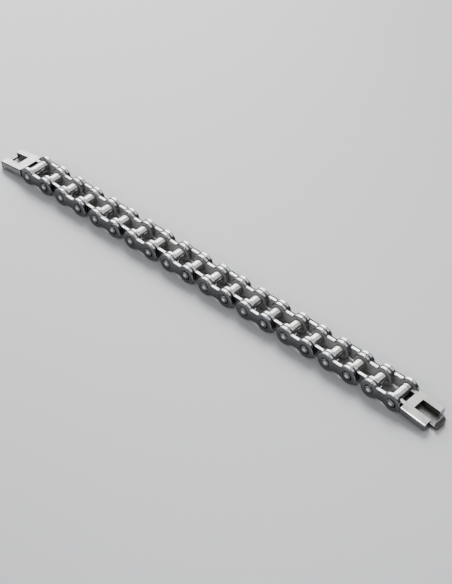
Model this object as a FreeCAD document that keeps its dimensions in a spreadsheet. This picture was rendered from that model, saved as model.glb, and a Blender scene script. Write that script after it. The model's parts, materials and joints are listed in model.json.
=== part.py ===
"""Roller-chain bracelet with a hook-and-bar clasp, lying stretched out on its plate edges.

Millimetres, +Z up. X runs along the chain, Y runs along the pins. The origin is the middle of the
bottom of the bounding box. The chain has 20 pins: outer links join pins 1-2, 3-4 ... 19-20, inner
links join pins 2-3, 4-5 ... 18-19. The bar clasp hangs on pin 1, the hook clasp on pin 20.
"""
import FreeCAD, Part
import os
import Sketcher

FULL_TURN = 360
HALF_TURN = 180
TOLERANCE = 1e-4

# Driving dimensions: alias, value in millimetres, what it is.
SIZES = (
    ("pitch", 9.5, "distance between neighbouring pins"),
    ("plate_height", 7.4, "diameter of the round ends of a side plate"),
    ("waist_height", 4.4, "height of the straight waist of a side plate"),
    ("waist_fillet", 0.9, "radius in the corners between waist and round ends"),
    ("plate_thickness", 1.5, "thickness of every side plate and clasp arm"),
    ("inner_width", 4.9, "distance between the inner plates"),
    ("plate_gap", 0.15, "side play between an inner plate and the outer plate beside it"),
    ("pin_diameter", 2.6, "shank of a pin"),
    ("head_diameter", 3.2, "riveted head of a pin"),
    ("head_proud", 0.35, "how far a head stands proud of its plate"),
    ("head_round", 0.25, "rounding of a head's rim"),
    ("bushing_wall", 0.5, "wall of a bushing"),
    ("roller_diameter", 4.8, "outside of a roller"),
    ("roller_round", 0.12, "rounding of a roller's rims"),
    ("running_clearance", 0.05, "radial clearance of everything that turns on a pin or bushing"),
    ("roller_side_play", 0.1, "clearance between each end of a roller and the plate beside it"),
    ("clasp_width", 11.7, "width of both clasps"),
    ("clasp_height", 3.3, "height of both clasps"),
    ("clasp_chamfer", 0.3, "bevel along the long outer edges of a clasp"),
    ("eye_diameter", 5.0, "round end of a clasp arm"),
    ("shoulder_gap", 0.35, "clearance between a clasp shoulder and the outer plate's round end"),
    ("roller_slot_gap", 1.35, "clearance between a clasp roller and the end of its slot"),
    ("bar_clasp_reach", 15.5, "pin 1 to the open end of the bar clasp"),
    ("bar_web", 4.3, "solid web of the bar clasp, shoulder to fork root"),
    ("fork_width", 5.0, "clear width of the fork"),
    ("bar_diameter", 1.1, "cross bar"),
    ("bar_inset", 0.95, "open end of the fork to the axis of the cross bar"),
    ("bar_rise", 0.0, "axis of the cross bar above the middle of the clasp"),
    ("hook_web", 3.2, "solid web of the hook clasp, shoulder to tongue root"),
    ("hook_prong_reach", 14.5, "pin 20 to the ends of the two prongs"),
    ("tongue_play", 0.25, "clearance on each side of the tongue"),
    ("bar_seat_play", 0.15, "clearance under the cross bar in the bay of the tongue"),
    ("bar_end_play", 0.05, "clearance between the seated cross bar and the lip"),
    ("closed_gap", 0.2, "clearance between fork and prongs when the clasp is closed"),
    ("tongue_root_round", 1.5, "hollow radius where the tongue leaves the web"),
    ("lip_length", 1.15, "length of the lip at the tip of the tongue"),
    ("lip_crest", 0.15, "flat crest of the lip"),
    ("lip_drop", 0.15, "crest of the lip below the top of the clasp"),
    ("lip_bevel", 1.0, "height of the sloping nose in front of the crest"),
)

# Derived values: name and the formula that ties it to the driving dimensions.
SIZE_FORMULAS = (
    ("pin_height", "Sizes.plate_height / 2"),
    ("inner_outside", "Sizes.inner_width / 2 + Sizes.plate_thickness"),
    ("outer_inside", "Derived.inner_outside + Sizes.plate_gap"),
    ("outer_outside", "Derived.outer_inside + Sizes.plate_thickness"),
    ("pin_bore_radius", "Sizes.pin_diameter / 2 + Sizes.running_clearance"),
    ("bushing_radius", "Derived.pin_bore_radius + Sizes.bushing_wall"),
    ("roller_bore_radius", "Derived.bushing_radius + Sizes.running_clearance"),
    ("roller_half_length", "Sizes.inner_width / 2 - Sizes.roller_side_play"),
    ("clasp_half_height", "Sizes.clasp_height / 2"),
    ("shoulder", "Sizes.plate_height / 2 + Sizes.shoulder_gap"),
    ("roller_slot_end", "Sizes.roller_diameter / 2 + Sizes.roller_slot_gap"),
    ("fork_root", "Derived.shoulder + Sizes.bar_web"),
    ("bar_place", "Sizes.bar_clasp_reach - Sizes.bar_inset"),
    ("tongue_root", "Derived.shoulder + Sizes.hook_web"),
    ("bay_floor", "Sizes.bar_rise - Sizes.bar_diameter / 2 - Sizes.bar_seat_play"),
    ("lip_top", "Derived.clasp_half_height - Sizes.lip_drop"),
    ("lip_start", "Sizes.hook_prong_reach + Sizes.closed_gap + Sizes.bar_inset + Sizes.bar_diameter / 2"
                  " + Sizes.bar_end_play"),
    ("tongue_reach", "Derived.lip_start + Sizes.lip_length"),
    ("hollow_radius", "min(Sizes.tongue_root_round;"
                      " Derived.clasp_half_height - Derived.bay_floor - Sizes.lip_drop)"),
    ("bar_droop", "asin(Derived.pin_height / hypot(Sizes.bar_clasp_reach; Derived.clasp_half_height)) / 1deg"
                  " - atan(Derived.clasp_half_height / Sizes.bar_clasp_reach) / 1deg"),
    ("hook_droop", "asin(Derived.pin_height / hypot(Derived.tongue_reach; Derived.clasp_half_height)) / 1deg"
                   " - atan(Derived.clasp_half_height / Derived.tongue_reach) / 1deg"),
    ("bar_end", "Sizes.bar_clasp_reach * cos(Derived.bar_droop * 1deg)"
                " + Derived.clasp_half_height * sin(Derived.bar_droop * 1deg)"),
    ("nose_height", "Derived.lip_top - Sizes.lip_bevel"),
    ("hook_end", "Derived.tongue_reach * cos(Derived.hook_droop * 1deg)"
                 " + Derived.nose_height * sin(Derived.hook_droop * 1deg)"),
)

OUTER_LINKS = 10
PIN_COUNT = 2 * OUTER_LINKS
LAST_PIN = f"Sizes.pitch * {PIN_COUNT - 1}"
MIDDLE = f"({LAST_PIN} + Derived.hook_end - Derived.bar_end) / 2"


def make_sizes(doc):
    """Put the driving dimensions in a sheet and the values derived from them in a variable set."""
    sheet = doc.addObject("Spreadsheet::Sheet", "Sizes")
    for row, (alias, value, meaning) in enumerate(SIZES, start=1):
        sheet.set(f"A{row}", meaning)
        sheet.set(f"B{row}", str(value))
        sheet.setAlias(f"B{row}", alias)
    doc.recompute()
    derived = doc.addObject("App::VarSet", "Derived")
    for name, formula in SIZE_FORMULAS:
        derived.addProperty("App::PropertyFloat", name, "Derived")
        derived.setExpression(name, formula)
        doc.recompute()


def make_body(doc, name):
    """Start a PartDesign body."""
    return doc.addObject("PartDesign::Body", name)


def make_sketch(body, name, plane):
    """Start a sketch on one of the body's own origin planes (XY_Plane or XZ_Plane)."""
    sketch = body.newObject("Sketcher::SketchObject", name)
    support = next(item for item in body.Origin.OriginFeatures if item.Role == plane)
    sketch.AttachmentSupport = [(support, "")]
    sketch.MapMode = "FlatFace"
    return sketch


def place_point(sketch, line, end, across, up):
    """Tie one end of a line to two formulas, measured from the sketch's origin."""
    for kind, formula in (("DistanceX", across), ("DistanceY", up)):
        value = float(sketch.evalExpression(formula))
        index = sketch.addConstraint(Sketcher.Constraint(kind, -1, 1, line, end, value))
        sketch.setExpression(f"Constraints[{index}]", formula)


def draw_outline(sketch, corners):
    """Draw a closed outline of straight lines through corners given as pairs of formulas."""
    spots = [FreeCAD.Vector(*(float(sketch.evalExpression(part)) for part in corner)) for corner in corners]
    lines = [sketch.addGeometry(Part.LineSegment(spot, spots[(number + 1) % len(spots)]), False)
             for number, spot in enumerate(spots)]
    for number, line in enumerate(lines):
        sketch.addConstraint(Sketcher.Constraint("Coincident", lines[number - 1], 2, line, 1))
        place_point(sketch, line, 1, *corners[number])


def draw_box(sketch, left, right, low, high):
    """Draw a rectangle between four formulas."""
    draw_outline(sketch, ((left, low), (right, low), (right, high), (left, high)))


def draw_circle(sketch, across, up, radius):
    """Draw a circle whose centre and radius are formulas."""
    centre = FreeCAD.Vector(float(sketch.evalExpression(across)), float(sketch.evalExpression(up)))
    circle = sketch.addGeometry(Part.Circle(centre, FreeCAD.Vector(0, 0, 1),
                                            float(sketch.evalExpression(radius))), False)
    place_point(sketch, circle, 3, across, up)
    index = sketch.addConstraint(Sketcher.Constraint("Radius", circle, float(sketch.evalExpression(radius))))
    sketch.setExpression(f"Constraints[{index}]", radius)


def pad(body, name, sketch, length):
    """Extrude a sketch by the same amount to both sides of its plane."""
    feature = body.newObject("PartDesign::Pad", name)
    feature.Profile = sketch
    feature.SideType = "Symmetric"
    feature.setExpression("Length", length)
    sketch.Visibility = False
    body.Document.recompute()


def cut_through(body, name, sketch):
    """Cut a sketch right through the body, to both sides of its plane."""
    before = body.Shape.Volume
    feature = body.newObject("PartDesign::Pocket", name)
    feature.Profile = sketch
    feature.SideType = "Symmetric"
    feature.Type = "ThroughAll"
    body.Document.recompute()
    if body.Shape.Volume > before - TOLERANCE:
        raise RuntimeError(f"{name} cuts nothing from {body.Name}")


def revolve(body, name, sketch):
    """Turn a sketch once round the Y axis of the body."""
    feature = body.newObject("PartDesign::Revolution", name)
    feature.Profile = sketch
    feature.ReferenceAxis = (sketch, ["V_Axis"])
    feature.Angle = FULL_TURN
    body.Document.recompute()


def dress_edges(body, name, kind, property_name, size, wanted):
    """Fillet or chamfer the edges of the body that the test `wanted` picks."""
    names = [f"Edge{number}" for number, edge in enumerate(body.Shape.Edges, start=1) if wanted(edge)]
    if not names:
        raise RuntimeError(f"{name} finds no edge on {body.Name}")
    base = body.Tip
    feature = body.newObject(kind, name)
    feature.Base = (base, names)
    feature.setExpression(property_name, size)
    body.Tip = feature
    body.Document.recompute()


def fillet(body, name, radius, wanted):
    """Round the edges that `wanted` picks."""
    dress_edges(body, name, "PartDesign::Fillet", "Radius", radius, wanted)


def chamfer(body, name, size, wanted):
    """Bevel the edges that `wanted` picks."""
    dress_edges(body, name, "PartDesign::Chamfer", "Size", size, wanted)


def straight_along(edge, axis):
    """Tell whether an edge is a straight line along X (0), Y (1) or Z (2)."""
    if not isinstance(edge.Curve, Part.Line):
        return False
    return abs(abs(edge.Curve.Direction[axis]) - 1) < TOLERANCE


def near(value, target):
    """Tell whether two lengths are the same."""
    return abs(value - target) < TOLERANCE


def make_plate(doc, name, hole_radius):
    """One figure-of-eight side plate, centred on y = 0, its first hole at the origin."""
    body = make_body(doc, name)
    waist = make_sketch(body, name + "_waist", "XZ_Plane")
    draw_box(waist, "0", "Sizes.pitch", "-Sizes.waist_height / 2", "Sizes.waist_height / 2")
    pad(body, name + "_bar", waist, "Sizes.plate_thickness")
    for number, across in enumerate(("0", "Sizes.pitch"), start=1):
        lobe = make_sketch(body, f"{name}_lobe_{number}", "XZ_Plane")
        draw_circle(lobe, across, "0", "Sizes.plate_height / 2")
        pad(body, f"{name}_end_{number}", lobe, "Sizes.plate_thickness")
    half_waist = float(body.evalExpression("Sizes.waist_height / 2"))
    fillet(body, name + "_waist_corners", "Sizes.waist_fillet",
           lambda edge: straight_along(edge, 1) and near(abs(edge.Vertexes[0].Z), half_waist))
    for number, across in enumerate(("0", "Sizes.pitch"), start=1):
        hole = make_sketch(body, f"{name}_hole_{number}", "XZ_Plane")
        draw_circle(hole, across, "0", hole_radius)
        cut_through(body, f"{name}_bore_{number}", hole)
    return body


def make_pin(doc, name):
    """One pin with a riveted head at each end, its axis along Y."""
    body = make_body(doc, name)
    profile = make_sketch(body, name + "_profile", "XY_Plane")
    face = "Derived.outer_outside"
    top = "(Derived.outer_outside + Sizes.head_proud)"
    shank = "Sizes.pin_diameter / 2"
    head = "Sizes.head_diameter / 2"
    draw_outline(profile, (("0", "-" + top), (head, "-" + top), (head, "-" + face), (shank, "-" + face),
                           (shank, face), (head, face), (head, top), ("0", top)))
    revolve(body, name + "_turned", profile)
    rim = float(body.evalExpression(head))
    end = float(body.evalExpression(top))
    fillet(body, name + "_heads", "Sizes.head_round",
           lambda edge: isinstance(edge.Curve, Part.Circle) and near(edge.Curve.Radius, rim)
           and near(abs(edge.Curve.Center.y), end))
    return body


def make_tube(doc, name, bore_radius, outer_radius, half_length, rim_round=None):
    """One plain tube with its axis along Y; `rim_round` rounds its two outer rims."""
    body = make_body(doc, name)
    profile = make_sketch(body, name + "_profile", "XY_Plane")
    draw_box(profile, bore_radius, outer_radius, f"-({half_length})", half_length)
    revolve(body, name + "_turned", profile)
    if rim_round:
        outer = float(body.evalExpression(outer_radius))
        fillet(body, name + "_rims", rim_round,
               lambda edge: isinstance(edge.Curve, Part.Circle) and near(edge.Curve.Radius, outer))
    return body


def start_clasp(doc, name, reach):
    """The half of a clasp that both share: block, two arms with round eyes, roller slot, pin bore.

    The clasp points along +X from its pin, which is the origin; `reach` is how far its block goes.
    """
    body = make_body(doc, name)
    block = make_sketch(body, name + "_block", "XY_Plane")
    draw_box(block, "Derived.shoulder", reach, "-Sizes.clasp_width / 2", "Sizes.clasp_width / 2")
    pad(body, name + "_body", block, "Sizes.clasp_height")
    half_width = float(body.evalExpression("Sizes.clasp_width / 2"))
    chamfer(body, name + "_long_edges", "Sizes.clasp_chamfer",
            lambda edge: straight_along(edge, 0) and near(abs(edge.Vertexes[0].Y), half_width))
    neck = make_sketch(body, name + "_neck", "XY_Plane")
    draw_box(neck, "0", "Derived.shoulder", "-Derived.inner_outside", "Derived.inner_outside")
    pad(body, name + "_arms", neck, "Sizes.clasp_height")
    eye = make_sketch(body, name + "_eye", "XZ_Plane")
    draw_circle(eye, "0", "0", "Sizes.eye_diameter / 2")
    pad(body, name + "_eyes", eye, "Derived.inner_outside * 2")
    slot = make_sketch(body, name + "_roller_slot", "XY_Plane")
    draw_box(slot, "-Sizes.eye_diameter", "Derived.roller_slot_end", "-Sizes.inner_width / 2",
             "Sizes.inner_width / 2")
    cut_through(body, name + "_roller_gap", slot)
    bore = make_sketch(body, name + "_pin_bore", "XZ_Plane")
    draw_circle(bore, "0", "0", "Derived.pin_bore_radius")
    cut_through(body, name + "_bore", bore)
    return body


def make_bar_frame(doc, name):
    """The bar clasp's block: an open fork with a hole across it for the cross bar."""
    body = start_clasp(doc, name, "Sizes.bar_clasp_reach")
    fork = make_sketch(body, name + "_fork", "XY_Plane")
    draw_box(fork, "Derived.fork_root", "Sizes.bar_clasp_reach + Sizes.bar_inset",
             "-Sizes.fork_width / 2", "Sizes.fork_width / 2")
    cut_through(body, name + "_fork_slot", fork)
    bar_hole = make_sketch(body, name + "_bar_hole", "XZ_Plane")
    draw_circle(bar_hole, "Derived.bar_place", "Sizes.bar_rise", "Sizes.bar_diameter / 2")
    cut_through(body, name + "_bar_bore", bar_hole)
    return body


def make_cross_bar(doc, name):
    """The cross bar, riveted flush in both prongs of the fork."""
    body = make_body(doc, name)
    round_section = make_sketch(body, name + "_section", "XZ_Plane")
    draw_circle(round_section, "Derived.bar_place", "Sizes.bar_rise", "Sizes.bar_diameter / 2")
    pad(body, name + "_rod", round_section, "Sizes.clasp_width")
    return body


def make_hook(doc, name):
    """The hook clasp: two prongs and between them a sunken tongue that ends in a raised lip."""
    body = start_clasp(doc, name, "Sizes.hook_prong_reach")
    gap = make_sketch(body, name + "_gap", "XY_Plane")
    draw_box(gap, "Derived.tongue_root", "Sizes.hook_prong_reach + Sizes.lip_length",
             "-Sizes.fork_width / 2", "Sizes.fork_width / 2")
    cut_through(body, name + "_tongue_gap", gap)
    tongue = make_sketch(body, name + "_tongue", "XZ_Plane")
    overlap = "(Derived.tongue_root - Sizes.hook_web / 2)"
    bottom = "-Derived.clasp_half_height"
    crest = "(Derived.lip_start + Sizes.lip_crest)"
    draw_outline(tongue, ((overlap, bottom),
                          ("Derived.tongue_reach", bottom),
                          ("Derived.tongue_reach", "Derived.nose_height"),
                          (crest, "Derived.lip_top"),
                          ("Derived.lip_start", "Derived.lip_top"),
                          ("Derived.lip_start", "Derived.bay_floor"),
                          ("Derived.tongue_root", "Derived.bay_floor"),
                          ("Derived.tongue_root", "Derived.clasp_half_height"),
                          (overlap, "Derived.clasp_half_height")))
    pad(body, name + "_strap", tongue, "Sizes.fork_width - 2 * Sizes.tongue_play")
    root = float(body.evalExpression("Derived.tongue_root"))
    floor = float(body.evalExpression("Derived.bay_floor"))
    fillet(body, name + "_tongue_hollow", "Derived.hollow_radius",
           lambda edge: straight_along(edge, 1) and near(edge.Vertexes[0].X, root)
           and near(edge.Vertexes[0].Z, floor))
    return body


def place_copy(doc, blank, name, across, aside="0", heading=0, droop="0"):
    """Link a copy of a blank at pin height, pointing along `heading` degrees and drooping by a formula."""
    link = doc.addObject("App::Link", name)
    link.LinkedObject = blank
    spot = f"create(<<vector>>; {across} - {MIDDLE}; {aside}; Derived.pin_height)"
    swing = f"create(<<rotation>>; create(<<vector>>; 0; 0; 1); {heading})"
    tilt = f"create(<<rotation>>; create(<<vector>>; 0; 1; 0); {droop})"
    link.setExpression("Placement", f"create(<<placement>>; {spot}; {swing} * {tilt})")
    return link


def make_node(doc, label, copies):
    """Gather linked copies in one named sub-part."""
    node = doc.addObject("Part::Compound", label)
    node.Label = label
    node.Links = copies
    return node


def pin_place(pin):
    """Formula for the distance of a pin (numbered from 1) from pin 1."""
    return f"Sizes.pitch * {pin - 1}"


def make_link(doc, label, first_pin, plate, plate_centre, joiner, joiner_name):
    """One link as two nodes: its pair of plates, and its pair of pins or bushings."""
    plates = [place_copy(doc, plate, f"{label}_plate_{side}", pin_place(first_pin), sign + plate_centre)
              for side, sign in (("near", "-"), ("far", ""))]
    joiners = [place_copy(doc, joiner, f"{label}_{joiner_name}_{pin}", pin_place(pin))
               for pin in (first_pin, first_pin + 1)]
    return [make_node(doc, f"{label}_plates", plates), make_node(doc, f"{label}_{joiner_name}s", joiners)]


def make_nodes(doc):
    """Build the blanks, then every named sub-part from placed copies of them."""
    outer_plate = make_plate(doc, "outer_plate_blank", "Sizes.pin_diameter / 2")
    inner_plate = make_plate(doc, "inner_plate_blank", "Derived.bushing_radius")
    pin = make_pin(doc, "pin_blank")
    bushing = make_tube(doc, "bushing_blank", "Derived.pin_bore_radius", "Derived.bushing_radius",
                        "Derived.inner_outside")
    roller_shape = ("Sizes.roller_diameter / 2", "Derived.roller_half_length", "Sizes.roller_round")
    roller = make_tube(doc, "roller_blank", "Derived.roller_bore_radius", *roller_shape)
    clasp_roller = make_tube(doc, "clasp_roller_blank", "Derived.pin_bore_radius", *roller_shape)
    bar_frame = make_bar_frame(doc, "bar_frame_blank")
    cross_bar = make_cross_bar(doc, "cross_bar_blank")
    hook = make_hook(doc, "hook_blank")

    outer_centre = "(Derived.outer_inside + Sizes.plate_thickness / 2)"
    inner_centre = "(Sizes.inner_width / 2 + Sizes.plate_thickness / 2)"
    nodes = []
    for number in range(1, OUTER_LINKS + 1):
        nodes += make_link(doc, f"outer_link_{number:02d}", 2 * number - 1, outer_plate, outer_centre,
                           pin, "pin")
    for number in range(1, OUTER_LINKS):
        nodes += make_link(doc, f"inner_link_{number:02d}", 2 * number, inner_plate, inner_centre,
                           bushing, "bushing")
    for number in range(1, PIN_COUNT + 1):
        blank = clasp_roller if number in (1, PIN_COUNT) else roller
        label = f"roller_{number:02d}"
        nodes.append(make_node(doc, label, [place_copy(doc, blank, label + "_tube", pin_place(number))]))

    bar_parts = [place_copy(doc, blank, f"bar_clasp_{piece}", "0", heading=HALF_TURN,
                            droop="Derived.bar_droop")
                 for blank, piece in ((bar_frame, "frame"), (cross_bar, "rod"))]
    hook_part = place_copy(doc, hook, "hook_clasp_block", LAST_PIN, droop="Derived.hook_droop")
    nodes.append(make_node(doc, "bar_clasp", bar_parts))
    nodes.append(make_node(doc, "hook_clasp", [hook_part]))
    return nodes


def check_model(doc, nodes):
    """Stop before anything is written if an object failed or a sub-part has no valid shape."""
    failed = [item.Name for item in doc.Objects if {"Invalid", "Error"} & set(item.State)]
    if failed:
        raise RuntimeError("failed objects: " + ", ".join(failed))
    for node in nodes:
        if node.Shape.isNull() or not node.Shape.isValid() or not node.Shape.Solids:
            raise RuntimeError(node.Label + " has no valid shape")


def main():
    doc = FreeCAD.newDocument("roller_chain")
    make_sizes(doc)
    nodes = make_nodes(doc)
    doc.recompute()
    check_model(doc, nodes)
    os.makedirs("parts", exist_ok=True)
    for node in nodes:
        node.Shape.exportStep(f"parts/{node.Label}.step")
    print(f"{len(nodes)} sub-parts written")


main()
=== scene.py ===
"""Looks of a polished steel roller-chain bracelet with a hook-and-bar clasp.

Every piece is modelled in millimetres about its own natural centre, then copied to its place on the
CAD frame in metres. Pieces ride on the CAD bodies, which are named after the links they belong to.
"""

import json
import logging
import math
from dataclasses import dataclass
from enum import Enum
from typing import Callable, Sequence

import bpy
from mathutils import Matrix, Vector


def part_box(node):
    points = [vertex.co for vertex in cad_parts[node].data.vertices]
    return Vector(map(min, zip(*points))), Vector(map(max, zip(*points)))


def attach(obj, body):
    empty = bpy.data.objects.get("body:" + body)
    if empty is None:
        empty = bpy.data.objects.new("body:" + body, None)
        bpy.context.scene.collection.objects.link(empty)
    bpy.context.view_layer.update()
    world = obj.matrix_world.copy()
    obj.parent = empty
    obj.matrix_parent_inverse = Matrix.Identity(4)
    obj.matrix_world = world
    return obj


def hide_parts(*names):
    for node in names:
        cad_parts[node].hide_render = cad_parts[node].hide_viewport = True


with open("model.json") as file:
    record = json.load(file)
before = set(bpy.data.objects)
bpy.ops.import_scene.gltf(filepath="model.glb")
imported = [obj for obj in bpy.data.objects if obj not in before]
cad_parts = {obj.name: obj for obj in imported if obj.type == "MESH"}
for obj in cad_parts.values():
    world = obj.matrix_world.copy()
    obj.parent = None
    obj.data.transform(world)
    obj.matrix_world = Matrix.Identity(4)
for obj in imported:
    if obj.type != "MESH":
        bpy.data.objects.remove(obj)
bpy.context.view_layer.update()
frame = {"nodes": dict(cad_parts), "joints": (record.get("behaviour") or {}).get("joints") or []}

log = logging.getLogger("roller_chain")

MM = 0.001
CLOSE = 1e-3
CHORD = 0.03
FLAT_TURN = 0.5
BROAD_WEIGHT = 100
CHAMFER_STEPS = 1
EDGE_STEPS = 3
RIM_STEPS = 4
CORNER_STEPS = 4
FILLET_STEPS = 5
HOLLOW_STEPS = 10
HOLE_SEGMENTS = 40
BAR_SEGMENTS = 40
BORE_SEGMENTS = 48
EYE_SEGMENTS = 64
CLASP_TURN = 30
HALF_TURN = math.pi
QUARTER_TURN = math.pi / 2

Colour = tuple[float, float, float]


class Side(Enum):
    """The two sides of the chain: near faces -Y, far faces +Y."""

    NEAR = -1
    FAR = 1


class Slot(Enum):
    """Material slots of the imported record."""

    OUTER_PLATES = "outer_plates"
    INNER_PLATES = "inner_plates"
    PINS = "pins"
    BUSHINGS = "bushings"
    ROLLERS = "rollers"
    CLASPS = "clasps"


# ---------------------------------------------------------------- modelling tools


def select_only(*pieces: bpy.types.Object) -> None:
    """Select some pieces and nothing else, and make the first one active.

    Args:
        pieces: The pieces to select.
    """
    bpy.ops.object.select_all(action="DESELECT")
    for piece in pieces:
        piece.select_set(True)
    bpy.context.view_layer.objects.active = pieces[0]


def settle_primitive(name: str) -> bpy.types.Object:
    """Name the primitive that was just added and move its placing into its mesh.

    Args:
        name: Name for the object.

    Returns:
        The named object.
    """
    piece = bpy.context.active_object
    piece.name = name
    bpy.ops.object.transform_apply(location=True, rotation=True, scale=True)
    return piece


def add_block(name: str, low: Sequence[float], high: Sequence[float]) -> bpy.types.Object:
    """Add a box between two corners.

    Args:
        name: Name for the box.
        low: Lowest corner.
        high: Highest corner.

    Returns:
        The box.
    """
    bpy.ops.object.select_all(action="DESELECT")
    low_corner, high_corner = Vector(low), Vector(high)
    bpy.ops.mesh.primitive_cube_add(size=1, location=(low_corner + high_corner) / 2,
                                    scale=high_corner - low_corner)
    return settle_primitive(name)


def add_rod(name: str, radius: float, length: float, segments: int,
            centre: Sequence[float] = (0, 0, 0), capped: bool = True) -> bpy.types.Object:
    """Add a cylinder along Y.

    Args:
        name: Name for the cylinder.
        radius: Its radius.
        length: Its length along Y.
        segments: Flats round it.
        centre: Its middle.
        capped: Whether its ends are closed.

    Returns:
        The cylinder.
    """
    bpy.ops.object.select_all(action="DESELECT")
    bpy.ops.mesh.primitive_cylinder_add(vertices=segments, radius=radius, depth=length, location=centre,
                                        rotation=(QUARTER_TURN, 0, 0),
                                        end_fill_type="NGON" if capped else "NOTHING")
    return settle_primitive(name)


def edit_faces(piece: bpy.types.Object, wanted: Callable[[bpy.types.MeshPolygon], bool]) -> None:
    """Go into edit mode with only the wanted faces selected.

    Args:
        piece: The piece to edit.
        wanted: Test for a face.
    """
    select_only(piece)
    mesh = piece.data
    mesh.vertices.foreach_set("select", [False] * len(mesh.vertices))
    mesh.edges.foreach_set("select", [False] * len(mesh.edges))
    mesh.polygons.foreach_set("select", [wanted(face) for face in mesh.polygons])
    bpy.ops.object.mode_set(mode="EDIT")
    bpy.ops.mesh.select_mode(type="FACE")


def edit_edges(piece: bpy.types.Object, wanted: Callable[[Vector, Vector], bool]) -> None:
    """Go into edit mode with only the wanted edges selected.

    Args:
        piece: The piece to edit.
        wanted: Test for the two ends of an edge.
    """
    select_only(piece)
    mesh = piece.data
    ends = [[mesh.vertices[number].co for number in edge.vertices] for edge in mesh.edges]
    mesh.vertices.foreach_set("select", [False] * len(mesh.vertices))
    mesh.polygons.foreach_set("select", [False] * len(mesh.polygons))
    mesh.edges.foreach_set("select", [wanted(*pair) for pair in ends])
    bpy.ops.object.mode_set(mode="EDIT")
    bpy.ops.mesh.select_mode(type="EDGE")


def leave_edit() -> None:
    """Go back to object mode."""
    bpy.ops.object.mode_set(mode="OBJECT")


def apply_modifier(piece: bpy.types.Object, kind: str, **settings: object) -> None:
    """Add a modifier, set it and apply it.

    Args:
        piece: The piece to change.
        kind: Type of the modifier.
        settings: Its settings.
    """
    select_only(piece)
    modifier = piece.modifiers.new(kind.lower(), kind)
    for key, value in settings.items():
        setattr(modifier, key, value)
    bpy.ops.object.modifier_apply(modifier=modifier.name)


def combine(piece: bpy.types.Object, tool: bpy.types.Object, operation: str = "DIFFERENCE") -> None:
    """Cut a tool from a piece, or join it on, and throw the tool away.

    Args:
        piece: The piece to change.
        tool: The solid to cut or join with.
        operation: DIFFERENCE or UNION.
    """
    apply_modifier(piece, "BOOLEAN", operation=operation, solver="EXACT", object=tool)
    bpy.data.meshes.remove(tool.data)


def merge_flats(piece: bpy.types.Object) -> None:
    """Merge neighbouring faces of one plane, so that no short edge is left beside a corner."""
    edit_faces(piece, lambda face: True)
    bpy.ops.mesh.dissolve_limited(angle_limit=math.radians(FLAT_TURN))
    leave_edit()


def round_edges(piece: bpy.types.Object, width: float, segments: int, sharper_than: float = 40) -> None:
    """Round every edge that turns by more than an angle, and shade the piece smooth.

    Args:
        piece: The piece to finish.
        width: Width of the rounding.
        segments: Faces across the rounding.
        sharper_than: The angle in degrees.
    """
    select_only(piece)
    bpy.ops.object.shade_smooth()
    apply_modifier(piece, "BEVEL", width=width, segments=segments, limit_method="ANGLE",
                   angle_limit=math.radians(sharper_than), harden_normals=True, use_clamp_overlap=True)


def clean_normals(piece: bpy.types.Object) -> None:
    """Merge doubled points and turn every face outwards."""
    edit_faces(piece, lambda face: True)
    bpy.ops.mesh.remove_doubles(threshold=CLOSE / 10)
    bpy.ops.mesh.normals_make_consistent(inside=False)
    leave_edit()


def smooth_by_area(piece: bpy.types.Object, angle: float = 38) -> None:
    """Shade a piece smooth across soft turns, with its broad faces kept truly flat.

    Args:
        piece: The piece.
        angle: Sharpest turn that is shaded smooth, in degrees.
    """
    select_only(piece)
    bpy.ops.object.shade_smooth_by_angle(angle=math.radians(angle))
    apply_modifier(piece, "WEIGHTED_NORMAL", weight=BROAD_WEIGHT, keep_sharp=True)


def add_ring(name: str, outer: float, inner: float, length: float, segments: int,
             centre: Sequence[float] = (0, 0, 0)) -> bpy.types.Object:
    """Add a tube along Y, its two walls bridged at both ends.

    Args:
        name: Name for the tube.
        outer: Outer radius.
        inner: Radius of the bore.
        length: Length along Y.
        segments: Flats round it.
        centre: Its middle.

    Returns:
        The tube.
    """
    bore = add_rod(name + "_bore", inner, length, segments, centre, capped=False)
    tube = add_rod(name, outer, length, segments, centre, capped=False)
    select_only(tube, bore)
    bpy.ops.object.join()
    for side in Side:
        end = centre[1] + side.value * length / 2
        edit_edges(tube, lambda first, last: abs(first.y - end) < CLOSE and abs(last.y - end) < CLOSE)
        bpy.ops.mesh.bridge_edge_loops()
        leave_edit()
    clean_normals(tube)
    return tube


def place_copy(blank: bpy.types.Object, name: str, place: Matrix) -> bpy.types.Object:
    """Copy a blank with its own mesh to a place on the frame; the copy's object stays at the origin.

    Args:
        blank: The modelled piece, in millimetres.
        name: Name of the copy.
        place: Where it goes, in metres.

    Returns:
        The copy.
    """
    copy = bpy.data.objects.new(name, blank.data.copy())
    copy.data.name = name
    copy.data.transform(place @ Matrix.Scale(MM, 4))
    bpy.context.scene.collection.objects.link(copy)
    return copy


def discard(*blanks: bpy.types.Object) -> None:
    """Remove modelled blanks once every copy is in place."""
    for blank in blanks:
        bpy.data.meshes.remove(blank.data)


# ---------------------------------------------------------------- shader node groups


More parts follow.
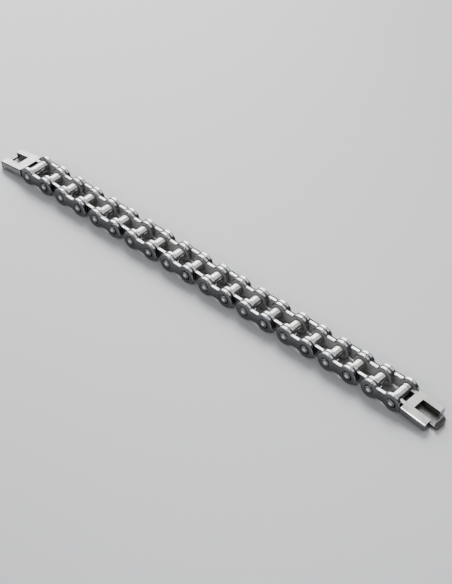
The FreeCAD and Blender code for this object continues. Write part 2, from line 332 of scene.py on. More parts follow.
class GroupMaker:
    """Builds one shader node group: named sockets, then nodes wired between them."""

    def __init__(self, name: str) -> None:
        """Start an empty group called `name`."""
        self.tree = bpy.data.node_groups.new(name, "ShaderNodeTree")
        self.inlet = self.tree.nodes.new("NodeGroupInput")
        self.outlet = self.tree.nodes.new("NodeGroupOutput")

    def socket(self, name: str, kind: str, inward: bool = True, value: float | None = None) -> None:
        """Add a named socket.

        Args:
            name: The socket's name.
            kind: Float or Vector.
            inward: Whether it is an input.
            value: Its default value.
        """
        made = self.tree.interface.new_socket(name=name, in_out="INPUT" if inward else "OUTPUT",
                                              socket_type=f"NodeSocket{kind}")
        if value is not None:
            made.default_value = value

    def node(self, kind: str, inputs: dict[str | int, object] | None = None,
             **settings: object) -> bpy.types.Node:
        """Add a node; an input given as a socket is wired, any other value is set."""
        return add_node(self.tree, kind, inputs, **settings)

    def given(self, name: str) -> bpy.types.NodeSocket:
        """Return one of the group's own inputs."""
        return self.inlet.outputs[name]

    def result(self, name: str, source: bpy.types.NodeSocket) -> None:
        """Wire a value to one of the group's outputs."""
        self.tree.links.new(source, self.outlet.inputs[name])


def add_node(tree: bpy.types.NodeTree, kind: str, inputs: dict[str | int, object] | None = None,
             **settings: object) -> bpy.types.Node:
    """Add a shader node to a tree.

    Args:
        tree: The node tree.
        kind: Node type, without the ShaderNode prefix.
        inputs: Input socket to a value, or to the output socket that feeds it.
        settings: Properties of the node.

    Returns:
        The node.
    """
    made = tree.nodes.new("ShaderNode" + kind)
    for key, value in settings.items():
        setattr(made, key, value)
    for key, value in (inputs or {}).items():
        if isinstance(value, bpy.types.NodeSocket):
            tree.links.new(value, made.inputs[key])
        else:
            made.inputs[key].default_value = value
    return made


def make_brush_group() -> bpy.types.NodeTree:
    """Long fine lines from a belt or a lathe tool, drawn out along one direction.

    Returns:
        A group with Vector, Lines, Stretch and Turn inputs; Height and Shade outputs.
    """
    group = GroupMaker("brush_lines")
    group.socket("Vector", "Vector")
    group.socket("Lines", "Vector")
    group.socket("Height", "Float", inward=False)
    group.socket("Shade", "Float", inward=False)
    stretched = group.node("VectorMath", {0: group.given("Vector"), 1: group.given("Lines")},
                           operation="MULTIPLY")
    fine = group.node("TexNoise", {"Vector": stretched.outputs[0], "Scale": 1.0, "Detail": 3.0,
                                   "Roughness": 0.65})
    coarse = group.node("TexNoise", {"Vector": stretched.outputs[0], "Scale": 0.23, "Detail": 2.0})
    both = group.node("Math", {0: fine.outputs["Fac"], 1: coarse.outputs["Fac"]}, operation="MULTIPLY")
    shade = group.node("MapRange", {"Value": both.outputs[0], "From Min": 0.12, "From Max": 0.42})
    group.result("Height", fine.outputs["Fac"])
    group.result("Shade", shade.outputs[0])
    return group.tree


def make_handling_group() -> bpy.types.NodeTree:
    """Faint smudges and sparse hairline scratches left by wear on polished steel.

    Returns:
        A group with Vector, Smudge and Scratch inputs; Haze, Height and Tarnish outputs.
    """
    group = GroupMaker("handling_marks")
    group.socket("Vector", "Vector")
    group.socket("Smudge", "Float", value=0.05)
    group.socket("Scratch", "Float", value=0.5)
    for name in ("Haze", "Height", "Tarnish"):
        group.socket(name, "Float", inward=False)
    vector = group.given("Vector")
    cloud = group.node("TexNoise", {"Vector": vector, "Scale": 260.0, "Detail": 4.0, "Roughness": 0.6})
    patches = group.node("MapRange", {"Value": cloud.outputs["Fac"], "From Min": 0.42, "From Max": 0.7})
    haze = group.node("Math", {0: patches.outputs[0], 1: group.given("Smudge")}, operation="MULTIPLY")
    wander = group.node("TexNoise", {"Vector": vector, "Scale": 90.0, "Detail": 1.0})
    offset = group.node("VectorMath", {0: wander.outputs["Color"], "Scale": 0.004}, operation="SCALE")
    bent = group.node("VectorMath", {0: vector, 1: offset.outputs[0]}, operation="ADD")
    cells = group.node("TexVoronoi", {"Vector": bent.outputs[0], "Scale": 420.0},
                       feature="DISTANCE_TO_EDGE")
    lines = group.node("MapRange", {"Value": cells.outputs["Distance"], "From Min": 0.0,
                                    "From Max": 0.02, "To Min": 1.0, "To Max": 0.0})
    sparse = group.node("TexNoise", {"Vector": vector, "Scale": 310.0, "Detail": 0.0})
    kept = group.node("Math", {0: sparse.outputs["Fac"], 1: 0.56}, operation="GREATER_THAN")
    marks = group.node("Math", {0: lines.outputs[0], 1: kept.outputs[0]}, operation="MULTIPLY")
    depth = group.node("Math", {0: marks.outputs[0], 1: group.given("Scratch")}, operation="MULTIPLY")
    group.result("Haze", haze.outputs[0])
    group.result("Height", depth.outputs[0])
    group.result("Tarnish", patches.outputs[0])
    return group.tree


# ---------------------------------------------------------------- finishes


@dataclass(frozen=True)
class SteelFinish:
    """One finish of stainless steel.

    Attributes:
        name: Name of the material.
        tone: Colour of the clean metal.
        dull_tone: Colour where it is smudged.
        roughness: Roughness of the clean metal.
        smudge: Roughness that handling adds.
        scratch: Depth of the hairline scratches, from 0 to 1.
        lines: Cycles per metre of the brush lines along X, Y and Z.
        line_depth: Depth of the brush lines, from 0 to 1.
        relief: Height of the bump in metres.
    """

    name: str
    tone: Colour
    dull_tone: Colour
    roughness: float
    smudge: float
    scratch: float
    lines: tuple[float, float, float]
    line_depth: float
    relief: float = 0.00001

    def build(self, brush: bpy.types.NodeTree, handling: bpy.types.NodeTree) -> bpy.types.Material:
        """Build the material.

        Args:
            brush: The brush line group.
            handling: The handling mark group.

        Returns:
            The material.
        """
        material = bpy.data.materials.new(self.name)
        material.use_nodes = True
        tree = material.node_tree
        tree.nodes.clear()
        place = add_node(tree, "TexCoord").outputs["Object"]
        worn = add_node(tree, "Group", node_tree=handling)
        drawn = add_node(tree, "Group", node_tree=brush)
        for group in (worn, drawn):
            tree.links.new(place, group.inputs["Vector"])
        worn.inputs["Smudge"].default_value = self.smudge
        worn.inputs["Scratch"].default_value = self.scratch
        drawn.inputs["Lines"].default_value = self.lines
        tint = add_node(tree, "Mix", {"Factor": worn.outputs["Tarnish"], 6: (*self.tone, 1),
                                      7: (*self.dull_tone, 1)}, data_type="RGBA")
        shaded = add_node(tree, "MapRange", {"Value": drawn.outputs["Shade"],
                                             "To Min": 1 - self.line_depth / 3, "To Max": 1.0})
        colour = add_node(tree, "Mix", {"Factor": 1.0, 6: tint.outputs[2], 7: shaded.outputs[0]},
                          data_type="RGBA", blend_type="MULTIPLY")
        lines = add_node(tree, "Math", {0: drawn.outputs["Height"], 1: self.line_depth},
                         operation="MULTIPLY")
        height = add_node(tree, "Math", {0: lines.outputs[0], 1: worn.outputs["Height"]},
                          operation="SUBTRACT")
        bump = add_node(tree, "Bump", {"Height": height.outputs[0], "Distance": self.relief,
                                       "Strength": 1.0})
        rough = add_node(tree, "Math", {0: worn.outputs["Haze"], 1: self.roughness}, operation="ADD")
        shader = add_node(tree, "BsdfPrincipled", {"Base Color": colour.outputs[2], "Metallic": 1.0,
                                                   "Roughness": rough.outputs[0],
                                                   "Normal": bump.outputs[0]})
        output = add_node(tree, "OutputMaterial")
        tree.links.new(shader.outputs[0], output.inputs[0])
        return material


PLATE_POLISH = SteelFinish("outer_plate_steel", (0.42, 0.425, 0.435), (0.37, 0.37, 0.375), 0.09, 0.05, 0.30,
                           (90.0, 9000.0, 900.0), 0.02)
# Painted shade: a dark tone on the plates' outward faces stands in for the dark reflections those mirror
# faces would show.
PLATE_PAINTED_DARK_REFLECTION = SteelFinish("mirror_plate_steel", (0.24, 0.243, 0.25), (0.20, 0.20, 0.205), 0.05, 0.05, 0.30,
                           (90.0, 9000.0, 900.0), 0.02)
INNER_POLISH = SteelFinish("inner_plate_steel", (0.42, 0.42, 0.42), (0.37, 0.365, 0.36), 0.10, 0.06, 0.30,
                           (90.0, 9000.0, 900.0), 0.03)
# Partly a real satin finish (the roughness), partly painted light: the tone is raised far above the other
# steel so the shaded inner faces read lit.
PLATE_SATIN_PAINTED_LIGHT = SteelFinish("satin_plate_steel_painted_light", (0.82, 0.82, 0.81), (0.74, 0.735, 0.72), 0.66, 0.08, 0.25,
                          (160.0, 9000.0, 2500.0), 0.25)
# Painted shade: the pin heads and the cross bar get a dark tone to match the darkened outward plate faces.
HEAD_PAINTED_SHADE = SteelFinish("pin_steel_painted_shade", (0.28, 0.28, 0.287), (0.24, 0.238, 0.238), 0.08, 0.05, 0.25,
                          (900.0, 900.0, 900.0), 0.02)
# Painted highlight: a near-white tone in the rivet dimple makes the bright spot on each pin head.
RIVET_PAINTED_HIGHLIGHT = SteelFinish("rivet_dimple_painted_highlight", (0.97, 0.97, 0.96), (0.90, 0.895, 0.88), 0.52, 0.06, 0.20,
                         (3200.0, 900.0, 3200.0), 0.30)
TUBE_FINISH = SteelFinish("bushing_steel", (0.44, 0.435, 0.425), (0.38, 0.375, 0.36), 0.24, 0.08, 0.20,
                          (300.0, 9000.0, 300.0), 0.20)
ROLLER_FINISH = SteelFinish("roller_steel", (0.43, 0.425, 0.41), (0.37, 0.365, 0.35), 0.17, 0.06, 0.30,
                            (120.0, 7000.0, 120.0), 0.18)
CLASP_POLISH = SteelFinish("clasp_polished_steel", (0.34, 0.345, 0.355), (0.29, 0.29, 0.30), 0.09, 0.06, 0.08,
                           (90.0, 900.0, 9000.0), 0.03)
CLASP_BRUSHED = SteelFinish("clasp_brushed_steel", (0.40, 0.40, 0.39), (0.35, 0.35, 0.34), 0.34, 0.08, 0.08,
                            (140.0, 8000.0, 300.0), 0.45)
CLASP_SATIN = SteelFinish("clasp_satin_steel", (0.31, 0.305, 0.29), (0.26, 0.255, 0.245), 0.50, 0.08, 0.08,
                          (300.0, 300.0, 6000.0), 0.25)


class Finishes:
    """Every steel finish, built once from the shared node groups."""

    def __init__(self) -> None:
        """Build the node groups and the materials."""
        brush, handling = make_brush_group(), make_handling_group()
        self.made = {finish.name: finish.build(brush, handling) for finish in (
            PLATE_POLISH, PLATE_PAINTED_DARK_REFLECTION, INNER_POLISH, PLATE_SATIN_PAINTED_LIGHT, HEAD_PAINTED_SHADE, RIVET_PAINTED_HIGHLIGHT, TUBE_FINISH,
            ROLLER_FINISH, CLASP_POLISH, CLASP_BRUSHED, CLASP_SATIN)}

    def dress(self, piece: bpy.types.Object, finish: SteelFinish, slot: Slot) -> None:
        """Give a piece one finish all over.

        Args:
            piece: The piece.
            finish: Its finish.
            slot: The record's material slot; not used.
        """
        piece.data.materials.clear()
        piece.data.materials.append(self.made[finish.name])

    def dress_part(self, piece: bpy.types.Object, finish: SteelFinish,
                   wanted: Callable[[bpy.types.MeshPolygon], bool]) -> None:
        """Give some faces of a dressed piece another finish.

        Args:
            piece: The piece.
            finish: The finish of those faces.
            wanted: Test for a face.
        """
        piece.data.materials.append(self.made[finish.name])
        number = len(piece.data.materials) - 1
        for face in piece.data.polygons:
            if wanted(face):
                face.material_index = number


# ---------------------------------------------------------------- frame places


def pin_point(number: int) -> Vector:
    """Where the axis of a pin crosses the middle of the chain, in metres; pin 1 is at the bar clasp."""
    joint = next(item for item in frame["joints"] if item["name"] == f"hinge_{number:02d}")
    return Vector(joint["pos_m"])


def span_mm(node: str, axis: int) -> float:
    """Length of a CAD node along an axis, in millimetres."""
    low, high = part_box(node)
    return (high[axis] - low[axis]) / MM


PIN_COUNT = sum(item["name"].startswith("hinge_") for item in frame["joints"])
PITCH = (pin_point(2) - pin_point(1)).length / MM
PLATE_HEIGHT = span_mm("outer_link_01_plates", 2)
OUTER_FACE = span_mm("outer_link_01_plates", 1) / 2
INNER_FACE = span_mm("inner_link_01_plates", 1) / 2
HEAD_FACE = span_mm("outer_link_01_pins", 1) / 2
ROLLER_LENGTH = span_mm("roller_02", 1)
CLASP_WIDTH = span_mm("bar_clasp", 1)


# ---------------------------------------------------------------- links


@dataclass
class SidePlate:
    """A figure-of-eight side plate, modelled about the middle of its link, in millimetres.

    Attributes:
        name: Name of the blank.
        hole: Radius of its two holes.
        height: Diameter of its round ends.
        thickness: Thickness along Y.
        waist: Height of the straight waist.
        corner: Setback of the fillet between waist and round end.
        rounding: Rounding of the polished edges.
        segments: Flats round a lobe, so that a whole flat is left beside each corner for its fillet.
    """

    name: str
    hole: float
    height: float = PLATE_HEIGHT
    thickness: float = 1.5
    waist: float = 4.4
    corner: float = 0.45
    rounding: float = 0.3
    segments: int = 40

    def model(self) -> bpy.types.Object:
        """Model the plate: two discs joined by the waist, filleted and rounded, then drilled."""
        half_pitch, half_waist, half = PITCH / 2, self.waist / 2, self.thickness / 2
        plate = add_rod(self.name, self.height / 2, self.thickness, self.segments, (-half_pitch, 0, 0))
        combine(plate, add_rod("lobe", self.height / 2, self.thickness, self.segments, (half_pitch, 0, 0)),
                "UNION")
        combine(plate, add_block("waist", (-half_pitch, -half, -half_waist),
                                 (half_pitch, half, half_waist)), "UNION")
        clean_normals(plate)
        merge_flats(plate)
        self.fillet_corners(plate)
        edit_edges(plate, lambda first, last: abs(abs(first.y) - half) < CLOSE
                   and abs(first.y - last.y) < CLOSE)
        bpy.ops.mesh.bevel(offset=self.rounding, segments=RIM_STEPS, affect="EDGES", clamp_overlap=False)
        leave_edit()
        for place in (-half_pitch, half_pitch):
            combine(plate, add_rod("hole", self.hole, 2 * self.thickness, HOLE_SEGMENTS, (place, 0, 0)))
        clean_normals(plate)
        smooth_by_area(plate)
        return plate

    def fillet_corners(self, plate: bpy.types.Object) -> None:
        """Round the four corners between the waist and the round ends.

        Args:
            plate: The joined discs and waist.
        """
        flat = PITCH / 2 - math.sqrt((self.height / 2) ** 2 - (self.waist / 2) ** 2)

        def at_corner(point: Vector) -> bool:
            """Tell whether a point is on one of the four waist corners."""
            return abs(abs(point.x) - flat) < CHORD and abs(abs(point.z) - self.waist / 2) < CHORD

        edit_edges(plate, lambda first, last: at_corner(first) and at_corner(last)
                   and abs(first.y - last.y) > self.thickness / 2)
        bpy.ops.mesh.bevel(offset=self.corner, segments=FILLET_STEPS, affect="EDGES", clamp_overlap=False)
        leave_edit()


@dataclass
class Pin:
    """A pin with a riveted head at each end: a low dome with a small dimple left by the riveting tool.

    Attributes:
        name: Name of the blank.
        shank: Radius of the shank.
        head: Radius of the heads.
        rim: Height of a head's straight rim.
        dimple: Radius of the dimple.
        dimple_depth: Depth of the dimple.
        steps: Rings across the dome, and across the dimple.
        segments: Flats round the pin.
    """

    name: str
    shank: float = 1.3
    head: float = 1.6
    rim: float = 0.1
    dimple: float = 0.75
    dimple_depth: float = 0.16
    steps: int = 6
    segments: int = 40

    def head_profile(self) -> list[tuple[float, float]]:
        """Work out the head as (radius, height over the plate) from the shank to the dimple's middle."""
        proud = HEAD_FACE - OUTER_FACE
        dome = [(self.dimple + (self.head - self.dimple) * math.cos(turn),
                 self.rim + (proud - self.rim) * math.sin(turn))
                for turn in (QUARTER_TURN * step / self.steps for step in range(self.steps + 1))]
        hollow = [(self.dimple * math.cos(turn), proud - self.dimple_depth * math.sin(turn) ** 2)
                  for turn in (QUARTER_TURN * step / self.steps for step in range(1, self.steps))]
        return [(self.head, 0.0), *dome, *hollow]

    def model(self) -> bpy.types.Object:
        """Model the pin from a rod whose two end faces are drawn out step by step."""
        pin = add_rod(self.name, self.shank, 2 * OUTER_FACE, self.segments)
        for side in Side:
            edit_faces(pin, lambda face: face.normal.y * side.value > 1 - CLOSE)
            radius, height = self.shank, 0.0
            for next_radius, next_height in self.head_profile():
                step = side.value * (next_height - height)
                bpy.ops.mesh.extrude_region_move(TRANSFORM_OT_translate={"value": (0, step, 0)})
                scale = next_radius / radius
                bpy.ops.transform.resize(value=(scale, 1, scale), center_override=(0, 0, 0))
                radius, height = next_radius, next_height
            leave_edit()
        clean_normals(pin)
        select_only(pin)
        bpy.ops.object.shade_smooth_by_angle(angle=math.radians(38))
        return pin


@dataclass
class Roller:
    """A plain roller.

    Attributes:
        name: Name of the blank.
        bore: Radius of its bore.
        radius: Outer radius.
        rounding: Rounding of its rims.
        segments: Flats round it.
    """

    name: str
    bore: float
    radius: float = 2.4
    rounding: float = 0.14
    segments: int = 56

    def model(self) -> bpy.types.Object:
        """Model the roller as a bridged ring with rounded rims."""
        roller = add_ring(self.name, self.radius, self.bore, ROLLER_LENGTH, self.segments)
        round_edges(roller, self.rounding, EDGE_STEPS)
        return roller


class Chain:
    """The links and rollers between the two clasps."""

    bushing_radius: float = 1.85
    bore_radius: float = 1.35

    def __init__(self, finishes: Finishes) -> None:
        """Model the five blanks that the chain repeats."""
        self.finishes = finishes
        pin = Pin("pin_blank")
        self.outer_plate = SidePlate("outer_plate_blank", pin.shank).model()
        self.inner_plate = SidePlate("inner_plate_blank", self.bushing_radius).model()
        self.pin = pin.model()
        self.roller = Roller("roller_blank", self.bushing_radius + 0.05).model()
        self.clasp_roller = Roller("clasp_roller_blank", self.bore_radius).model()
        finishes.dress(self.outer_plate, PLATE_POLISH, Slot.OUTER_PLATES)
        finishes.dress(self.inner_plate, INNER_POLISH, Slot.INNER_PLATES)
        # Painted shade: the pins take the darkened tone of the outward plate faces.
        finishes.dress(self.pin, HEAD_PAINTED_SHADE, Slot.PINS)
        finishes.dress(self.roller, ROLLER_FINISH, Slot.ROLLERS)
        finishes.dress(self.clasp_roller, ROLLER_FINISH, Slot.ROLLERS)
        for plate in (self.outer_plate, self.inner_plate):
            # Inner faces: satin finish with a brightened tone, which is painted light.
            finishes.dress_part(plate, PLATE_SATIN_PAINTED_LIGHT, lambda face: face.normal.y < CLOSE - 1)
            # Painted shade: the outward faces get the darkened tone that stands in for dark reflections.
            finishes.dress_part(plate, PLATE_PAINTED_DARK_REFLECTION, lambda face: face.normal.y > 1 - CLOSE)
        # Painted highlight: the dimple in each head gets the near-white tone.
        finishes.dress_part(self.pin, RIVET_PAINTED_HIGHLIGHT, lambda face: abs(face.center.y) > OUTER_FACE
                            and math.hypot(face.center.x, face.center.z) < pin.dimple)

    def add(self, blank: bpy.types.Object, name: str, place: Matrix, body: str, slot: Slot,
            node: str) -> None:
        """Place a copy of a blank, set it riding on its body and let it stand for its CAD node.

        Args:
            blank: The modelled piece.
            name: Name of the copy.
            place: Where it goes, in metres.
            body: The CAD body that it rides on.
            slot: The record's material slot; not used.
            node: The CAD node that it replaces.
        """
        piece = place_copy(blank, name, place)
        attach(piece, body)
        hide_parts(node)

    def add_plates(self, link: str, first_pin: int, plate: bpy.types.Object, face: float,
                   slot: Slot) -> None:
        """Add the near and far plates of a link.

        Args:
            link: Name of the link's body.
            first_pin: Number of its first pin.
            plate: The plate blank.
            face: Distance of the plates' outer faces from the middle of the chain, in millimetres.
            slot: The record's material slot.
        """
        middle = (pin_point(first_pin) + pin_point(first_pin + 1)) / 2
        thickness = SidePlate.thickness
        for side in Side:
            aside = Vector((0, side.value * (face - thickness / 2) * MM, 0))
            turn = Matrix.Rotation(HALF_TURN if side is Side.NEAR else 0, 4, "Z")
            self.add(plate, f"{link}_{side.name.lower()}_plate", Matrix.Translation(middle + aside) @ turn,
                     link, slot, f"{link}_plates")

    def build(self) -> None:
        """Place every link and roller of the chain."""
        for number in range(1, PIN_COUNT // 2 + 1):
            link = f"outer_link_{number:02d}"
            first_pin = 2 * number - 1
            self.add_plates(link, first_pin, self.outer_plate, OUTER_FACE, Slot.OUTER_PLATES)
            for pin in (first_pin, first_pin + 1):
                self.add(self.pin, f"pin_{pin:02d}", Matrix.Translation(pin_point(pin)), link, Slot.PINS,
                         f"{link}_pins")
            log.info("%s: two plates, two pins", link)
        for number in range(1, PIN_COUNT // 2):
            link = f"inner_link_{number:02d}"
            self.add_plates(link, 2 * number, self.inner_plate, INNER_FACE, Slot.INNER_PLATES)
            bushings = frame["nodes"][f"{link}_bushings"]
            self.finishes.dress(bushings, TUBE_FINISH, Slot.BUSHINGS)
            log.info("%s: two plates, two bushings", link)
        for number in range(1, PIN_COUNT + 1):
            name = f"roller_{number:02d}"
            blank = self.clasp_roller if number in (1, PIN_COUNT) else self.roller
            self.add(blank, f"{name}_tube", Matrix.Translation(pin_point(number)), name, Slot.ROLLERS, name)
            log.info("%s: one tube", name)
        discard(self.outer_plate, self.inner_plate, self.pin, self.roller, self.clasp_roller)


# ---------------------------------------------------------------- clasps


@dataclass
class Clasp:
    """What both halves of the clasp share. A clasp is modelled pointing along +X from its pin.

    Attributes:
        name: Name of the half.
        pin: Number of the pin that it hangs on.
        heading: Turn about Z of the half on the chain.
        block_reach: From the pin to the open end of its block.
        touch_reach: From the pin to the end that touches the surface it lies on.
        slot_root: From the pin to the root of the slot in its block.
        half_height: Half of its height.
        shoulder: From the pin to the start of the block.
        roller_slot_end: From the pin to the end of the roller slot.
        arm_inside: Inner faces of the two arms.
        arm_outside: Outer faces of the two arms.
        eye: Radius of the arms' round ends.
        bore: Radius of the pin bore.
        slot_half_width: Half the width of the slot.
        long_bevel: Bevel of the block's long edges.
        corner: Rounding of the block's upright corners.
        edge: Rounding of every other edge.
    """

    name: str
    pin: int
    heading: float
    block_reach: float
    touch_reach: float
    slot_root: float
    half_height: float = 1.65
    shoulder: float = PLATE_HEIGHT / 2 + 0.35
    roller_slot_end: float = 3.75
    arm_inside: float = ROLLER_LENGTH / 2 + 0.1
    arm_outside: float = INNER_FACE
    eye: float = 2.5
    bore: float = 1.35
    slot_half_width: float = 2.5
    long_bevel: float = 0.3
    corner: float = 0.3
    edge: float = 0.09

    def place(self) -> Matrix:
        """Work out where the half lies: turned to its heading, drooping until its end touches."""
        pin = pin_point(self.pin)
        reach = math.hypot(self.touch_reach, self.half_height)
        droop = math.asin(pin.z / MM / reach) - math.atan(self.half_height / self.touch_reach)
        return (Matrix.Translation(pin) @ Matrix.Rotation(self.heading, 4, "Z")
                @ Matrix.Rotation(droop, 4, "Y"))

    def model_block(self) -> bpy.types.Object:
        """Model the block with its arms, eyes, roller slot, pin bore and open slot."""
        half_width, top = CLASP_WIDTH / 2, self.half_height
        block = add_block(self.name, (self.shoulder, -half_width, -top),
                          (self.block_reach, half_width, top))
        self.bevel_long_edges(block, half_width)
        self.round_corners(block, half_width)
        neck = add_block("neck", (0, -self.arm_outside, -top),
                         (self.shoulder + self.corner * 2, self.arm_outside, top))
        combine(block, neck, "UNION")
        combine(block, add_rod("eyes", self.eye, 2 * self.arm_outside, EYE_SEGMENTS), "UNION")
        combine(block, add_block("roller_slot", (-2 * self.eye, -self.arm_inside, -2 * top),
                                 (self.roller_slot_end, self.arm_inside, 2 * top)))
        combine(block, add_rod("pin_bore", self.bore, CLASP_WIDTH, BORE_SEGMENTS))
        combine(block, add_block("open_slot", (self.slot_root, -self.slot_half_width, -2 * top),
                                 (self.block_reach + top, self.slot_half_width, 2 * top)))
        return block

    def bevel_long_edges(self, block: bpy.types.Object, half_width: float) -> None:
        """Bevel the four long outer edges of the block.

        Args:
            block: The block.
            half_width: Half of its width.
        """
        edit_edges(block, lambda first, last: abs(first.x - last.x) > self.shoulder
                   and abs(abs(first.y) - half_width) < CLOSE)
        bpy.ops.mesh.bevel(offset=self.long_bevel, segments=CHAMFER_STEPS, affect="EDGES")
        leave_edit()

    def round_corners(self, block: bpy.types.Object, half_width: float) -> None:
        """Round the upright corners of the block.

        Args:
            block: The block.
            half_width: Half of its width.
        """
        edit_edges(block, lambda first, last: abs(first.z - last.z) > self.half_height
                   and abs(abs(first.y) - half_width) < CLOSE)
        bpy.ops.mesh.bevel(offset=self.corner, segments=CORNER_STEPS, affect="EDGES")
        leave_edit()

    def finish(self, piece: bpy.types.Object, finishes: Finishes) -> None:
        """Round the remaining edges, then brush the broad faces and polish the rest.

        Args:
            piece: The modelled half.
            finishes: The finishes.
        """
        clean_normals(piece)
        round_edges(piece, self.edge, EDGE_STEPS, sharper_than=CLASP_TURN)
        finishes.dress(piece, CLASP_POLISH, Slot.CLASPS)
        finishes.dress_part(piece, CLASP_BRUSHED, lambda face: abs(face.normal.z) > 1 - CLOSE
                            and abs(face.center.z) > self.half_height - CLOSE)
        finishes.dress_part(piece, CLASP_SATIN, lambda face: abs(face.center.z) < self.half_height - CLOSE
                            and abs(face.center.y) < self.slot_half_width + CLOSE)

    def fit(self, piece: bpy.types.Object, name: str) -> None:
        """Place a modelled piece, set it riding on this half and let it stand for the CAD node.

        Args:
            piece: The modelled piece.
            name: Name of the placed piece.
        """
        placed = place_copy(piece, name, self.place())
        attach(placed, self.name)
        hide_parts(self.name)
        discard(piece)
        log.info("%s: %d faces", name, len(placed.data.polygons))


@dataclass
class BarClasp(Clasp):
    """The half with an open fork and a riveted cross bar.

    Attributes:
        bar: Radius of the cross bar.
        bar_place: From the pin to the cross bar.
        bar_rise: Cross bar above the middle of the half.
        rivet_groove: Width of the fine line round the riveted ends of the bar.
    """

    bar: float = 0.55
    bar_place: float = 14.55
    bar_rise: float = 0.0
    rivet_groove: float = 0.06

    def build(self, finishes: Finishes) -> None:
        """Model and place the fork and its cross bar."""
        centre = (self.bar_place, 0, self.bar_rise)
        fork = self.model_block()
        combine(fork, add_rod("bar_bore", self.bar + self.rivet_groove, 2 * CLASP_WIDTH, BAR_SEGMENTS,
                              centre))
        self.finish(fork, finishes)
        self.fit(fork, "bar_clasp_fork")
        rod = add_rod("cross_bar", self.bar, CLASP_WIDTH, BAR_SEGMENTS, centre)
        round_edges(rod, self.rivet_groove * 2, EDGE_STEPS)
        # Painted shade: the cross bar takes the pin heads' darkened tone.
        finishes.dress(rod, HEAD_PAINTED_SHADE, Slot.CLASPS)
        self.fit(rod, "bar_clasp_cross_bar")


@dataclass
class HookClasp(Clasp):
    """The half with two prongs and a sunken tongue that ends in a lip.

    Attributes:
        tongue_half_width: Half the width of the tongue.
        floor: Level of the tongue's bay.
        floor_bevel: Bevel along the two long edges of the bay's floor.
        hollow: Radius of the hollow at the tongue's root.
        lip_start: From the pin to the inner wall of the lip.
        lip_top: Level of the lip's crest.
        nose: Height of the sloping nose.
    """

    tongue_half_width: float = 2.25
    floor: float = -0.7
    floor_bevel: float = 0.5
    hollow: float = 1.5
    lip_start: float = 16.25
    lip_top: float = 1.5
    nose: float = 1.0

    def build(self, finishes: Finishes) -> None:
        """Model and place the block with its tongue."""
        hook = self.model_block()
        combine(hook, self.model_tongue(), "UNION")
        self.finish(hook, finishes)
        self.fit(hook, "hook_clasp_block")

    def model_tongue(self) -> bpy.types.Object:
        """Model the tongue: a strap with a sloping nose, its bay cut by a tool with a rounded edge."""
        side = self.tongue_half_width
        tip = self.touch_reach
        tongue = add_block("tongue", (self.slot_root - self.half_height, -side, -self.half_height),
                           (tip, side, self.lip_top))
        edit_edges(tongue, lambda first, last: abs(first.x - tip) < CLOSE and abs(last.x - tip) < CLOSE
                   and min(first.z, last.z) > 0)
        bpy.ops.mesh.bevel(offset=self.nose, segments=CHAMFER_STEPS, affect="EDGES")
        leave_edit()
        bay = add_block("bay", (self.slot_root, -2 * side, self.floor),
                        (self.lip_start, 2 * side, 2 * self.half_height))
        edit_edges(bay, lambda first, last: abs(first.x - self.slot_root) < CLOSE
                   and abs(last.x - self.slot_root) < CLOSE and max(first.z, last.z) < 0)
        bpy.ops.mesh.bevel(offset=self.hollow, segments=HOLLOW_STEPS, affect="EDGES")
        leave_edit()
        combine(tongue, bay)
        edit_edges(tongue, lambda first, last: abs(first.z - self.floor) < CLOSE
                   and abs(last.z - self.floor) < CLOSE and abs(first.x - last.x) > self.nose
                   and abs(abs(first.y) - side) < CLOSE)
        bpy.ops.mesh.bevel(offset=self.floor_bevel, segments=CHAMFER_STEPS, affect="EDGES")
        leave_edit()
        return tongue


# ---------------------------------------------------------------- stage


@dataclass(frozen=True)
class Softbox:
    """A large soft lamp.

    Attributes:
        name: Name of the lamp.
        direction: Where it stands, seen from the chain.
        size: Width about the Y axis, and height, in metres.
        power: Its power in watts.
        distance: How far away it stands, in metres.
    """

    name: str
    direction: tuple[float, float, float]
    size: tuple[float, float]
    power: float
    distance: float = 1.6

    def build(self) -> None:
        """Add the lamp, facing the chain, with its width turned about the Y axis."""
        bpy.ops.object.select_all(action="DESELECT")
        outward = Vector(self.direction).normalized()
        across = Vector((0, 1, 0)).cross(outward).normalized()
        turn = Matrix((across, outward.cross(across), outward)).transposed()
        bpy.ops.object.light_add(type="AREA", location=outward * self.distance,
                                 rotation=turn.to_euler())
        lamp = bpy.context.active_object
        lamp.name = self.name
        lamp.data.shape = "RECTANGLE"
        lamp.data.size, lamp.data.size_y = self.size
        lamp.data.energy = self.power


SOFTBOXES = (
    Softbox("back_softbox", (-0.60, 0.55, 0.58), (1.70, 0.85), 23.0),
    Softbox("top_softbox", (0.24, 0.55, 0.80), (1.39, 0.68), 3.2),
    Softbox("front_strip", (-0.25, -0.77, 0.55), (1.35, 0.10), 6.0),
)


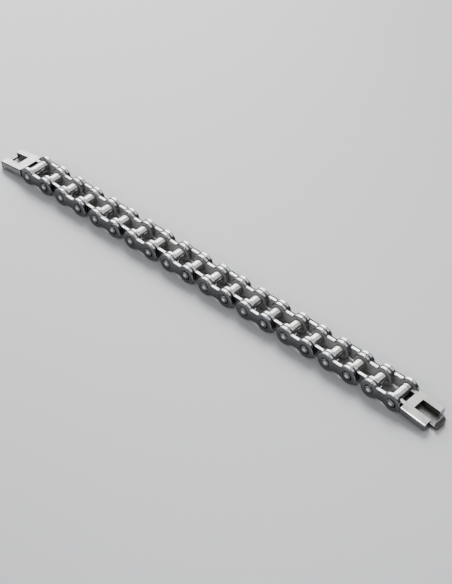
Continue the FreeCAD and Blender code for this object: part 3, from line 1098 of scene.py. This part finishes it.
@dataclass
class Stage:
    """A pale floor, soft lamps and the camera.

    Attributes:
        floor_size: Side of the floor in metres.
        floor_tone: Colour of the floor.
        floor_roughness: Its roughness.
        sky_tone: Colour of the surroundings overhead.
        horizon_tone: Colour of the surroundings at the level of the floor.
        camera_place: Where the camera stands, in metres.
        camera_pitch: How far it looks down, in degrees.
        camera_heading: Turn of its view from +Y towards -X, in degrees.
        camera_roll: Turn about its line of sight, in degrees.
        camera_lens: Focal length in millimetres on a 36 mm sensor.
    """

    floor_size: float = 6.0
    floor_tone: Colour = (0.80, 0.805, 0.815)
    floor_roughness: float = 0.35
    sky_tone: Colour = (0.28, 0.285, 0.30)
    horizon_tone: Colour = (0.045, 0.048, 0.055)
    camera_place: tuple[float, float, float] = (0.2996, -0.3170, 0.3889)
    camera_pitch: float = 42.07
    camera_heading: float = 42.48
    camera_roll: float = 0.25
    camera_lens: float = 98.4

    def build(self) -> None:
        """Add the floor, the surroundings, the lamps and the camera."""
        self.build_floor()
        self.build_sky()
        for softbox in SOFTBOXES:
            softbox.build()
        self.build_camera()

    def build_floor(self) -> None:
        """Add the pale floor with a faint sheen."""
        bpy.ops.object.select_all(action="DESELECT")
        bpy.ops.mesh.primitive_plane_add(size=self.floor_size)
        floor = settle_primitive("floor")
        material = bpy.data.materials.new("pale_floor")
        material.use_nodes = True
        shader = material.node_tree.nodes["Principled BSDF"]
        shader.inputs["Base Color"].default_value = (*self.floor_tone, 1)
        shader.inputs["Roughness"].default_value = self.floor_roughness
        floor.data.materials.append(material)

    def build_sky(self) -> None:
        """Give the scene plain surroundings that darken towards the floor."""
        world = bpy.data.worlds.new("studio")
        world.use_nodes = True
        tree = world.node_tree
        outward = add_node(tree, "TexCoord").outputs["Generated"]
        height = add_node(tree, "SeparateXYZ", {"Vector": outward}).outputs["Z"]
        rise = add_node(tree, "MapRange", {"Value": height, "From Max": 0.9})
        tone = add_node(tree, "Mix", {"Factor": rise.outputs[0], 6: (*self.horizon_tone, 1),
                                      7: (*self.sky_tone, 1)}, data_type="RGBA")
        tree.links.new(tone.outputs[2], tree.nodes["Background"].inputs["Color"])
        bpy.context.scene.world = world

    def build_camera(self) -> None:
        """Add the camera and make it the scene's."""
        bpy.ops.object.select_all(action="DESELECT")
        aim = (Matrix.Rotation(math.radians(self.camera_heading), 4, "Z")
               @ Matrix.Rotation(QUARTER_TURN - math.radians(self.camera_pitch), 4, "X")
               @ Matrix.Rotation(math.radians(self.camera_roll), 4, "Z"))
        bpy.ops.object.camera_add(location=self.camera_place, rotation=aim.to_euler())
        camera = bpy.context.active_object
        camera.data.lens = self.camera_lens
        camera.data.sensor_width = 36.0
        camera.data.clip_start, camera.data.clip_end = 0.01, 20.0
        bpy.context.scene.camera = camera
        bpy.context.scene.view_settings.look = "AgX - Medium High Contrast"


def main() -> None:
    """Build the stage and every piece of the bracelet."""
    logging.basicConfig(level=logging.INFO, format="%(name)s %(message)s")
    Stage().build()
    finishes = Finishes()
    Chain(finishes).build()
    BarClasp("bar_clasp", pin=1, heading=HALF_TURN, block_reach=15.5, touch_reach=15.5,
             slot_root=8.35).build(finishes)
    HookClasp("hook_clasp", pin=PIN_COUNT, heading=0, block_reach=14.5, touch_reach=17.4,
              slot_root=7.25).build(finishes)


if __name__ == "__main__":
    main()
